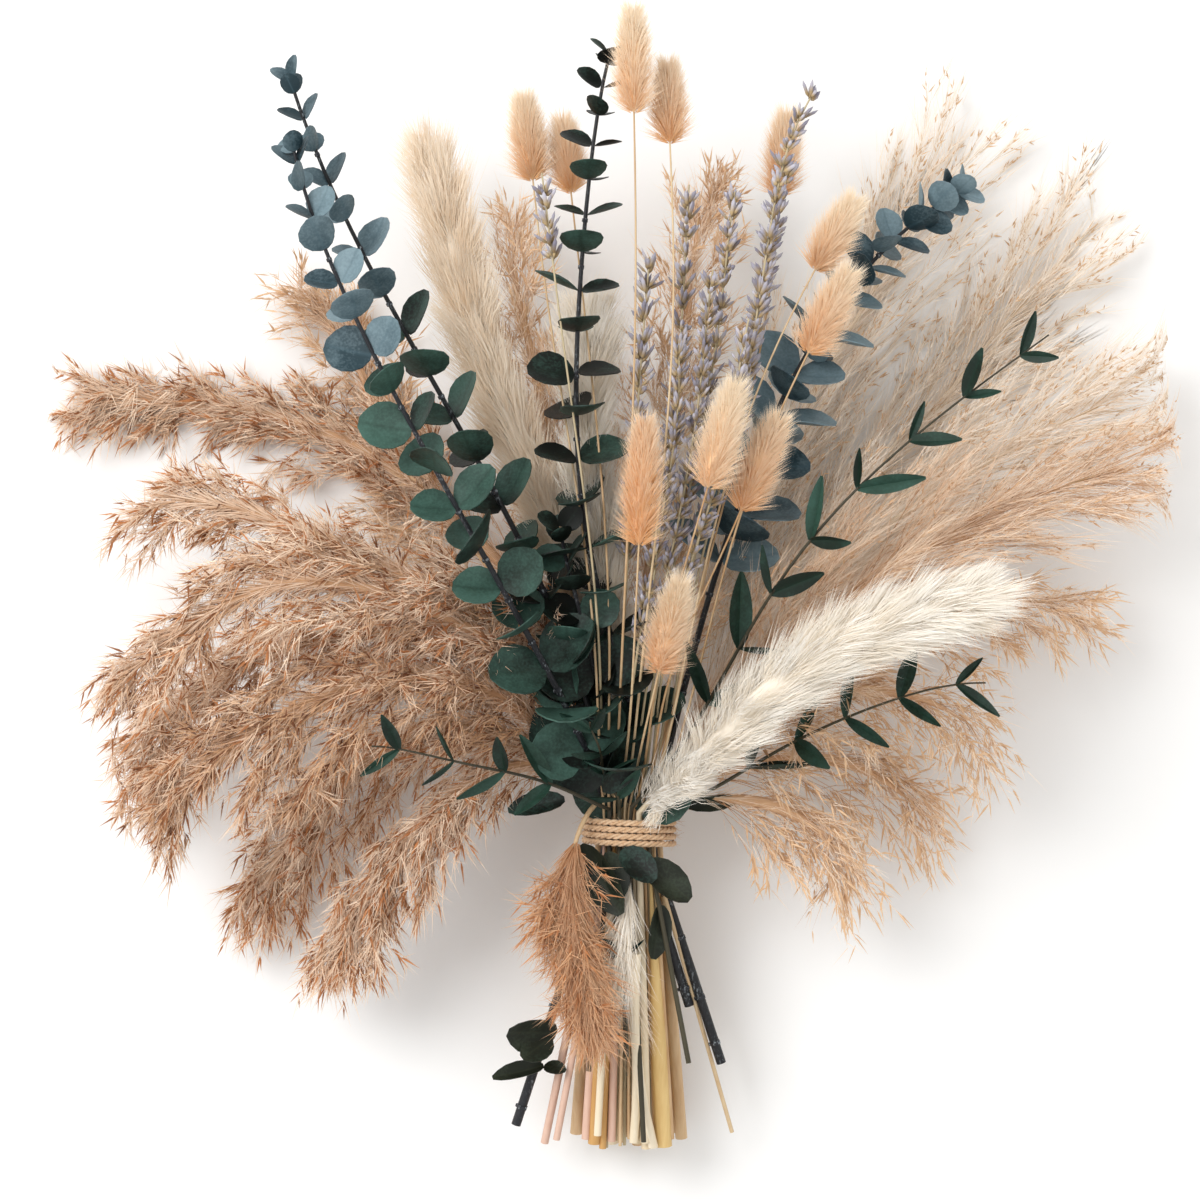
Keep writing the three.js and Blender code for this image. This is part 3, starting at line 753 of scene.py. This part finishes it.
def addPlume(growth, look, head, names):
    hairFinish, spikeletFinish, coreFinish = names
    dice, route = growth.dice, growth.route
    scale = headScale(head)
    start = route.length - head["head"] * mm
    droop = np.array([0, -1.0, -0.15]) * head["droop"]

    # branchlets leave the stem all round and arch over
    count = int(look["branchlets"] * scale)
    share = (np.arange(count) + dice.random(count)) / count
    far = start + share * (route.length - start) * 0.96
    roots = route.at(far)
    along, side, up = route.ways(far)
    turn = dice.random(count) * 2 * math.pi
    out = side * np.cos(turn)[:, None] + up * (np.sin(turn) * look["flat"] * (0.25 + 0.75 * share))[:, None]
    reach = head["reach"] * mm * (1 - look["taper"] * share**1.3) * (0.7 + 0.5 * dice.random(count))
    lean = look["angle"] * (0.6 + 0.7 * dice.random(count))
    way = unit(turned(along, out, lean))
    bends = roots + way * reach[:, None] * 0.55
    tips = roots + (way * 0.8 + along * 0.22 + droop) * reach[:, None]
    growth.strands("branchlet", coreFinish, roots, bends, tips, np.full(count, 0.2 * mm), dice.random(count))

    # twigs along each branchlet, every one a small tuft
    number = int(look["twigs"] * scale)
    pick = dice.integers(0, count, number)
    t = 0.12 + 0.84 * dice.random(number) ** look["tipward"]
    base = curvePoint(roots[pick], bends[pick], tips[pick], t)
    way = unit(curveWay(roots[pick], bends[pick], tips[pick], t) + scatter(dice, number, look["twigSplay"]))
    t = t[:, None]
    size = look["twig"] * mm * (0.6 + 0.7 * dice.random(number))[:, None] * (1 - 0.3 * t)
    twigBend = base + way * size * 0.5
    twigTip = base + (way + droop * 0.6) * size
    clump = dice.random(number) + (t[:, 0] - 0.55) * look["shade"]  # painted shade: twigs darker near the stem, where the inside of the plume is shaded
    growth.strands("softHair", coreFinish, base, twigBend, twigTip, np.full(number, 0.14 * mm), clump)

    twigs = (base, twigBend, twigTip, clump)
    addAlongTwigs(growth, twigs, head["tint"], {
        "shape": "spikelet", "finish": spikeletFinish, "number": int(look["spikelets"] * scale),
        "low": look["low"], "high": 1.05, "loose": 0, "splay": look["splay"], "size": look["spikelet"],
        "sizeSpread": 0.6, "width": look["spikeletWidth"], "droop": droop * 0.4,
    })
    addFluff(growth, look, head, start, hairFinish)
    addAlongTwigs(growth, twigs, head["tint"], {
        "shape": "hair", "finish": hairFinish, "number": int(look["hairs"] * 0.8 * scale),
        "low": 0, "high": 1, "loose": 0.8 * mm, "splay": look["hairSplay"], "size": look["hair"],
        "sizeSpread": 0.8, "width": look["hairWidth"], "droop": droop * 0.4,
    })

    coreFars = np.linspace(start + 6 * mm, route.length - 8 * mm, coreSteps)
    swell = np.sin(np.pi * np.linspace(0.04, 0.96, coreSteps) ** 0.8) ** 0.8 * look["core"] * mm
    growth.tube("core", coreFinish, coreFars, swell, 0.6 + head["tint"])


def reedLook(node):
    if node == "reed_left_short":
        return softReed
    if node in ("reed_right_foot", "reed_right_hanging", "reed_right_middle"):
        return sparseReed
    return looseReed if "_right_" in node or "_back_" in node else reed


total = 0
for node, head in reedHeads.items():
    growth = Growth(node)
    growth.route.shift(head.get("shift", (0, 0, 0)))
    addStalk(growth, growth.route.length - stemStop)
    look = reedLook(node)
    spikelet = "reedSpikelet" if "_left_" in node else "paleSpikelet"
    hair = "rustHair" if look is softReed else "reedHair"
    addPlume(growth, look, head, (hair, spikelet, "reedCore"))
    total += growth.build()
print("reed plumes made, triangles:", total)

# shade: as for the reeds, painted shade on the twigs near the stem
grass = {
    "branchlets": 64, "twigs": 460, "spikelets": 1000, "hairs": 4200, "angle": 0.46, "flat": 0.7, "twig": 24,
    "twigSplay": 0.2, "spikelet": 4.2, "spikeletWidth": 0.4, "splay": 0.4, "hair": 17, "hairWidth": 0.13,
    "hairSplay": 0.14, "core": 1.6, "low": 0.5, "tipward": 0.6, "taper": 0.4, "shade": 0.5,
}
grassHeads = rows("head reach tint droop", {
    "grass_back_right": (240, 84, 0.35, 0.0),
    "grass_right_top": (240, 86, 0.35, 0.0),
    "grass_right_upper": (240, 84, 0.2, 0.05),
    "grass_right_middle": (240, 76, 0.1, 0.08),
})
for node, head in grassHeads.items():
    growth = Growth(node)
    addStalk(growth, growth.route.length - stemStop)
    names = ("grassHair", "grassSpikelet", "grassCore")
    if node == "grass_right_middle":  # the lowest is as warm as the reeds beside it
        names = ("reedHair", "paleSpikelet", "reedCore")
    addPlume(growth, grass, head, names)
    total += growth.build()
print("airy grasses made, triangles:", total)


# cream pampas

pampas = {"tufts": 190, "hairs": 48, "hair": 23, "width": 0.14, "core": 0.32}
pampasHeads = rows("head girth tint finish", {
    "pampas_tall_left": (235, 12, 0.15, "peachHair"),
    "pampas_centre": (190, 10, 0.0, "creamHair"),
    "pampas_front": (188, 19, 0.25, "creamHair"),
})


def pampasWidth(share):  # narrow at the base, blunt at the end
    opening = np.minimum(1, 0.3 + 0.7 * (share / 0.5).clip(0, 1))
    return opening * np.sqrt(1 - ((share - 0.8) / 0.24).clip(0, 0.98) ** 2)


def addPampas(growth, head):
    dice, route = growth.dice, growth.route
    start = route.length - head["head"] * mm
    count = int(pampas["tufts"] * (0.3 + 0.7 * head["head"] / 180))
    share = (np.arange(count) + dice.random(count)) / count
    far = start + share * (route.length - start) * 0.97
    along, side, up = route.ways(far)
    out = turned(side, up, np.arange(count) * 2.4 + dice.random(count))
    girth = head["girth"] * mm * pampasWidth(share)
    roots = route.at(far) + out * (girth * 0.3)[:, None]
    lean = 0.5 + 0.35 * dice.random(count)
    way = unit(turned(along, out, lean) + scatter(dice, count, 0.1))
    fullness = 0.45 + 0.55 * girth / head["girth"] / mm
    size = (pampas["hair"] * mm * (0.75 + 0.4 * dice.random(count)) * fullness)[:, None]
    clump = dice.random(count)

    pick = np.repeat(np.arange(count), pampas["hairs"])
    number = len(pick)
    length = size[pick] * (0.65 + 0.5 * dice.random(number))[:, None]
    loose = unit(way[pick] + scatter(dice, number, 0.16))
    base = roots[pick] + scatter(dice, number, 1.6 * mm)
    base = base - along[pick] * length * 0.25 * dice.random(number)[:, None]
    bends = base + loose * length * 0.55
    curl = scatter(dice, count, 0.12)[pick]
    tips = base + (loose * 0.72 + along[pick] * 0.34 + curl) * length
    width = pampas["width"] * mm * (0.7 + 0.6 * dice.random(number))
    tint = (dice.random(number) * 0.45 + clump[pick] * 0.55 + head["tint"]).clip(0, 1)
    growth.strands("softHair", head["finish"], base, bends, tips, width, tint)
    part = np.linspace(0, 1, coreSteps)
    coreFars = np.linspace(start + 3 * mm, route.length - 5 * mm, coreSteps)
    swell = pampasWidth(part) * (1.02 - part**8) * head["girth"] * mm * pampas["core"]
    growth.tube("core", "creamCore", coreFars, swell, 0.8)


def addTuft(growth, finish, begin, end, spread, count, hair):  # a loose wisp between two places
    dice = growth.dice
    share = dice.random(count)[:, None]
    line = unit(end - begin)
    roots = begin * (1 - share) + end * share + scatter(dice, count, spread * 0.35) * (0.5 + share)
    loose = unit(line + scatter(dice, count, 0.24))
    size = hair * mm * (0.6 + 0.7 * dice.random(count))[:, None]
    ends = roots + (loose + scatter(dice, count, 0.08)) * size
    width = np.full(count, pampas["width"] * mm)
    growth.strands("softHair", finish, roots, roots + loose * size * 0.5, ends, width, dice.random(count))


def addSheath(growth):  # a dried sheath and two pale straws that hang out below the tie
    top = fromTie(0, -20, 17)
    addTuft(growth, "creamHair", top, top + np.array((-3, -40, -3)) * mm, 4 * mm, 900, 20)
    begins = np.array([fromTie(-1, -48, 15), fromTie(3, -50, 14)])
    ends = np.array([fromTie(2, -129, -5), fromTie(10, -131, -4)])
    bends = (begins + ends) / 2 + np.array([(5, 0, 3), (-7, 0, 3)]) * mm
    growth.strands("straw", "paleStalk", ends, bends, begins, np.array([2.0, 2.1]) * mm, [0.6, 0.8])
    lower = top + np.array((-4, -26, -5)) * mm
    addTuft(growth, "peachHair", lower, top + np.array((2, -58, -14)) * mm, 5 * mm, 500, 18)


for node, head in pampasHeads.items():
    growth = Growth(node)
    addStalk(growth, growth.route.length - stemStop)
    addPampas(growth, head)
    if node == "pampas_front":  # a wisp comes down over the twine
        addTuft(growth, "creamHair", fromTie(15, 16, 18), fromTie(10, 6, 20.5), 3 * mm, 260, 7)
    if node == "pampas_centre":
        addSheath(growth)
    total += growth.build()
print("pampas made, triangles:", total)


# bunny tails

bunny = {"hairs": 2250, "hair": 11.5, "width": 0.13, "belly": 0.42, "core": 0.54}
bunnyHeads = rows("head girth tint", {
    "tail_far_left": (34, 7.2, 0.0),
    "tail_top_left": (30, 6, -0.15),
    "tail_top": (41, 7.4, 0.15),
    "tail_tan": (50, 8, -0.4),
    "tail_top_right": (32, 6.4, -0.1),
    "tail_low": (42, 8, 0.1),
    "tail_middle": (43, 8.8, 0.25),
    "tail_middle_right": (41, 8.6, -0.1),
    "tail_behind_lavender": (34, 6.4, -0.1),
    "tail_right_top": (32, 7.8, 0.15),
    "tail_right": (36, 8, 0.0),
})


looseStraws = {  # straws that spread out below the tie: finish, start and end from the tie in mm, radius
    "tail_far_left": [
        ("pinkStalk", (-12, -18, 8), (-35, -131, -20), 1.7),
        ("pinkStalk", (-9, -18, 9), (-30, -129, -14), 1.5),
    ],
    "tail_tan": [("paleStalk", (-7, -20, 12), (-13, -126, -2), 1.6)],
    "tail_right": [("straw", (12, -18, 6), (43, -127, -24), 0.9)],
}


def egg(share, below, above, least):  # half width along a tail, fattest at the belly
    reach = np.where(share < bunny["belly"], below, above)
    return np.sqrt(np.clip(1 - ((share - bunny["belly"]) / reach) ** 2, least, 1))


def addBunnyTail(growth, head):
    dice, route = growth.dice, growth.route
    count = bunny["hairs"]
    start = route.length - head["head"] * mm
    share = dice.random(count) ** 0.9
    far = start + share * (route.length - start) * 0.96
    along, side, up = route.ways(far)
    out = turned(side, up, dice.random(count) * 2 * math.pi)
    oval = egg(share, 0.46, 0.62, 0.02)
    roots = route.at(far) + out * (head["girth"] * mm * 0.5 * oval)[:, None]
    lean = 0.72 - 0.35 * share + 0.35 * dice.random(count) ** 2 + 0.4 * (1 - share * 5).clip(0)
    way = unit(turned(along, out, lean) + scatter(dice, count, 0.1))
    size = bunny["hair"] * mm * (0.6 + 0.6 * dice.random(count))[:, None] * (1 - 0.4 * share)[:, None]
    tips = roots + way * size + along * size * 0.15
    width = np.full(count, bunny["width"] * mm)
    tint = (dice.random(count) * 0.5 + share * 0.75 - 0.1 + head["tint"]).clip(0, 1)
    growth.strands("hair", "tailFur", roots, roots + way * size * 0.5, tips, width, tint)
    coreFars = np.linspace(start, route.length - 2.5 * mm, coreSteps)
    swell = egg(np.linspace(0, 1, coreSteps), 0.42, 0.58, 0.0) * head["girth"] * bunny["core"] * mm
    growth.tube("core", "tailCore", coreFars, swell + 0.1 * mm, 0.5 + head["tint"])


for node, head in bunnyHeads.items():
    growth = Growth(node)
    addStalk(growth, growth.route.length - head["head"] * mm * 0.7)
    addBunnyTail(growth, head)
    for finish, begin, end, radius in looseStraws.get(node, []):
        begin, end = fromTie(*begin)[None], fromTie(*end)[None]
        growth.strands("straw", finish, end, (begin + end) / 2, begin, [radius * mm], [0.6])
    total += growth.build()
print("bunny tails made, triangles:", total)


# lavender

lavender = {"whorlGap": 7.2, "buds": 11, "bud": 6.6, "budWidth": 0.88}
lavenderSpikes = {  # the length of each spike
    "lavender_far_left": 36,
    "lavender_left": 120,
    "lavender_low": 120,
    "lavender_back": 130,
    "lavender_middle": 130,
    "lavender_tall": 140,
    "lavender_front": 110,
    "lavender_right_low": 125,
    "lavender_right": 120,
    "lavender_bending": 140,
}


def addSpike(growth, length):
    dice, route = growth.dice, growth.route
    gap = lavender["whorlGap"] * mm
    whorls = np.arange(route.length - length * mm, route.length - 2 * mm, gap)
    whorls = whorls + (dice.random(len(whorls)) - 0.5) * gap * 0.4
    buds = lavender["buds"]
    far = np.repeat(whorls, buds) + dice.normal(0, 0.7 * mm, len(whorls) * buds)
    count = len(far)
    along, side, up = route.ways(far)
    turn = np.tile(np.arange(buds) / buds * 2 * math.pi, len(whorls)) + dice.random(count) * 0.8
    out = turned(side, up, turn)
    lean = 0.3 + 0.65 * dice.random(count)
    way = unit(turned(along, out, lean) + scatter(dice, count, 0.18))
    place = route.at(far) + out * 0.5 * mm + along * scatter(dice, count, 0.8 * mm)[:, :1]
    size = lavender["bud"] * mm * (0.55 + 0.75 * dice.random(count))[:, None]
    width = lavender["budWidth"] * mm * (0.7 + 0.5 * dice.random(count))
    keep = dice.random(count) < 0.82
    bends = place + way * size * 0.5
    ends = place + way * size + along * size * 0.1
    tint = dice.random(count)
    growth.strands("bud", "bud", place[keep], bends[keep], ends[keep], width[keep], tint[keep])


for node, length in lavenderSpikes.items():
    growth = Growth(node)
    addStalk(growth)
    addSpike(growth, length)
    total += growth.build()
print("lavender made, triangles:", total)


# eucalyptus

# leaf: length of the largest; bare: stem without leaves above the tie; face: how far leaves turn up;
# blue: where along the stem the leaves turn blue; gap: between pairs
branches = rows("leaf tint bare face lean blue gap", {
    "eucalyptus_left": (24, 0.15, 40, 0.85, 0.4, 0.72, 17),
    "eucalyptus_tall_left": (22, -0.1, 60, 0.75, 0.45, 0.62, 18),
    "eucalyptus_low": (26, -0.2, 14, 1.0, 0.3, 2.0, 13),
    "eucalyptus_centre": (22, -0.25, 46, 0.4, 0.05, 2.0, 15.5),
    "eucalyptus_right": (24, 0.1, 112, 0.7, 0.25, 0.0, 8.5),
})


def addRoundLeaves(growth, look):
    dice, route = growth.dice, growth.route
    first = route.tieFar + look["bare"] * mm
    pairs = max(3, round((route.length - first) / (look["gap"] * mm)))
    for pair in range(pairs + 1):
        share = 1 - (1 - min(1, pair / pairs + 0.02)) ** 1.25
        far = np.array([first + (route.length - 1 * mm - first) * share] * 2)
        along, side, up = route.ways(far)
        turn = pair * math.pi / 2 + 0.5 * (dice.random() - 0.5) + np.array([0, math.pi])
        out = turned(side, up, turn)
        lean = look["lean"] + 0.3 * (dice.random(2)[:, None] - 0.3) + 0.45 * share**4
        way = unit(out * np.cos(lean) + along * np.sin(lean))
        face = unit(along * np.cos(lean) - out * np.sin(lean))
        tilt = look["face"] * (0.3 + 0.9 * dice.random(2))[:, None]
        face = unit(face * np.cos(tilt) + up * np.sin(tilt) + scatter(dice, 2, 0.2))
        size = look["leaf"] * mm * (1 - 0.55 * share**2) * (0.82 + 0.3 * dice.random(2))
        finish = "blueLeaf" if share > look["blue"] + 0.12 * (dice.random() - 0.5) else "darkLeaf"
        place = route.at(far) + out * 0.8 * mm
        wide = size * (0.85 + 0.25 * dice.random(2))
        tint = (dice.random(2) + look["tint"]).clip(0, 1)
        growth.leaves("roundLeaf", finish, place, way, face, size, wide, tint)


def addNodes(growth, gap):  # swollen rings where old leaves were
    route = growth.route
    far = np.arange(7 * mm, route.length - 30 * mm, gap * mm)
    far = far + growth.dice.random(len(far)) * 5 * mm
    radius = np.interp(far, (0, route.tieFar, route.length), (route.footRadius, 1.5 * mm, 0.8 * mm)) * 1.6
    along = route.ways(far)[0] * 1.3 * mm
    place = route.at(far)
    growth.strands("bud", "bark", place - along, place, place + along, radius, np.ones(len(far)))


def addLooseLeaves(growth, shape, loose):  # single leaves: place and end from the tie, in mm
    for finish, begin, end, wide, tilt in loose:
        begin, end = fromTie(*begin), fromTie(*end)
        size = np.linalg.norm(end - begin)
        way, face = unit(end - begin)[None], unit(np.array([tilt]))
        growth.leaves(shape, finish, begin[None], way, face, [size], [size * wide], [0.25])


underTie = [
    ("duskLeaf", (-20, -5, 18), (-3, -33, 21), 0.46, (-0.35, 0.1, 1.0)),
    ("duskLeaf", (-9, -8, 20), (-4, -27, 22), 0.6, (0.5, 0.0, 1.0)),
    ("darkLeaf", (-3, -7, 20), (10, -20, 23), 0.7, (0.1, 0.4, 1.0)),
    ("duskLeaf", (6, -12, 19), (24, -28, 17), 0.6, (0.3, 0.3, 1.0)),
    ("duskLeaf", (13, -30, 10), (9, -52, 12), 0.5, (0.7, 0.0, 1.0)),
    ("darkLeaf", (-26, 13, 14), (-49, 8, 13), 0.42, (0.0, 0.4, 1.0)),
    ("duskLeaf", (20, 12, 14), (45, 14, 12), 0.3, (0.0, -0.5, 1.0)),
    ("darkLeaf", (-12, 18, 22), (-36, 50, 24), 0.75, (-0.2, 0.1, 1.0)),
    ("darkLeaf", (-10, 16, 24), (4, 46, 30), 0.45, (0.6, 0.0, 1.0)),
]
onFoot = [
    ("duskLeaf", (-30, -84, -4), (-50, -82, 6), 0.8, (-0.2, -0.5, 1.0)),
    ("duskLeaf", (-32, -86, -4), (-44, -94, 2), 0.8, (0.3, 0.5, 1.0)),
    ("duskLeaf", (-35, -98, -8), (-56, -103, -3), 0.35, (0.0, 0.6, 1.0)),
    ("duskLeaf", (-35, -98, -8), (-26, -100, -4), 0.7, (0.3, 0.6, 1.0)),
]
for node, look in branches.items():
    growth = Growth(node)
    addStalk(growth)
    addRoundLeaves(growth, look)
    addNodes(growth, 22)
    if node == "eucalyptus_low":
        addLooseLeaves(growth, "roundLeaf", underTie)
    if node == "eucalyptus_left":
        addLooseLeaves(growth, "roundLeaf", onFoot)
    total += growth.build(50)
print("eucalyptus made, triangles:", total)


# narrow-leaved sprigs

sprigs = rows("leaf bare gap", {
    "narrowleaf_left": (26, 34, 20),
    "narrowleaf_foot": (24, 10, 14),
    "narrowleaf_right": (30, 58, 27),
    "narrowleaf_right_low": (27, 44, 24),
})


def addNarrowLeaves(growth, look):
    dice, route = growth.dice, growth.route
    first = route.tieFar + look["bare"] * mm
    pairs = max(2, round((route.length - first) / (look["gap"] * mm)))
    for pair in range(pairs):
        share = (pair + 0.5) / pairs
        far = np.array([first + (route.length - first) * share] * 2)
        along, side, up = route.ways(far)
        turn = 0.3 * (dice.random() - 0.5) + np.array([0, math.pi]) + (pair % 2) * 0.5
        out = turned(side, up, turn)
        lean = 0.55 + 0.5 * dice.random(2)[:, None]
        way = unit(out * np.cos(lean) + along * np.sin(lean))
        face = unit(up + scatter(dice, 2, 0.45))
        size = look["leaf"] * mm * (1 - 0.3 * share) * (0.65 + 0.5 * dice.random(2))
        wide = size * (0.55 + 0.35 * dice.random(2))
        growth.leaves("narrowLeaf", "narrowLeaf", route.at(far), way, face, size, wide, dice.random(2))


for node, look in sprigs.items():
    growth = Growth(node)
    addStalk(growth)
    addNarrowLeaves(growth, look)
    if node == "narrowleaf_foot":  # a small fork low on its stem
        fork = (growth.route.at(np.array([growth.route.tieFar - 52 * mm]))[0] - tie) / mm
        addLooseLeaves(growth, "narrowLeaf", [
            ("narrowLeaf", fork, fork + (-15, 10, 3), 0.8, (0.2, 0.3, 1.0)),
            ("narrowLeaf", fork, fork + (9, 8, 2), 0.35, (0.2, 0.3, 1.0)),
        ])
    total += growth.build(50)
print("sprigs made, triangles:", total)


# twine

jute = {
    "turns": 4, "pitch": 2.8, "radius": 18.25, "ply": 0.66, "plies": 3, "twist": 9.0, "steps": 620,
    "fuzz": 260, "seed": 10752,
}


def coilPoint(t):  # t from 0 at the lower end to 1 at the upper end
    angle = t * jute["turns"] * 2 * math.pi
    out = np.stack([np.cos(angle), np.zeros_like(angle), np.sin(angle)], axis=-1)
    place = tie + out * jute["radius"] * mm
    place[:, 1] += (t - 0.5) * jute["turns"] * jute["pitch"] * mm
    return place, out


def addTwine():
    growth = Growth("jute_twine", jute["seed"])
    length = jute["turns"] * 2 * math.pi * jute["radius"]
    shapes["ply"] = tubeShape(jute["steps"], 6)
    local = shapes["ply"][0]
    t = local[:, 2]
    place, out = coilPoint(t)
    way = unit(coilPoint(t + 0.001)[0] - coilPoint(t - 0.001)[0])
    across = np.cross(out, way)
    for ply in range(jute["plies"]):
        turn = t * length / jute["twist"] * 2 * math.pi + ply * 2 * math.pi / jute["plies"]
        middle = place + turned(out, across, turn) * jute["ply"] * mm
        points = middle + (out * local[:, 0:1] + across * local[:, 1:2]) * jute["ply"] * 1.05 * mm
        growth.keep(points[None], shapes["ply"], "twine", [0.3 + 0.2 * ply], t[None], t[None] * 0, "twine")
    dice = growth.dice
    count = jute["fuzz"]
    far = dice.random(count)
    root, out = coilPoint(far)
    ahead = unit(coilPoint(far + 0.001)[0] - root)
    root = root + out * 1.0 * mm
    way = unit(ahead * 0.8 + out * 0.5 + scatter(dice, count, 0.5))
    size = (2 + 3.5 * dice.random(count))[:, None] * mm
    ends = root + way * size + ahead * size * 0.3
    width = np.full(count, 0.07 * mm)
    growth.strands("longHair", "twine", root, root + way * size * 0.6, ends, width, dice.random(count))
    return growth.build()


total += addTwine()
print("twine made, triangles in all:", total)
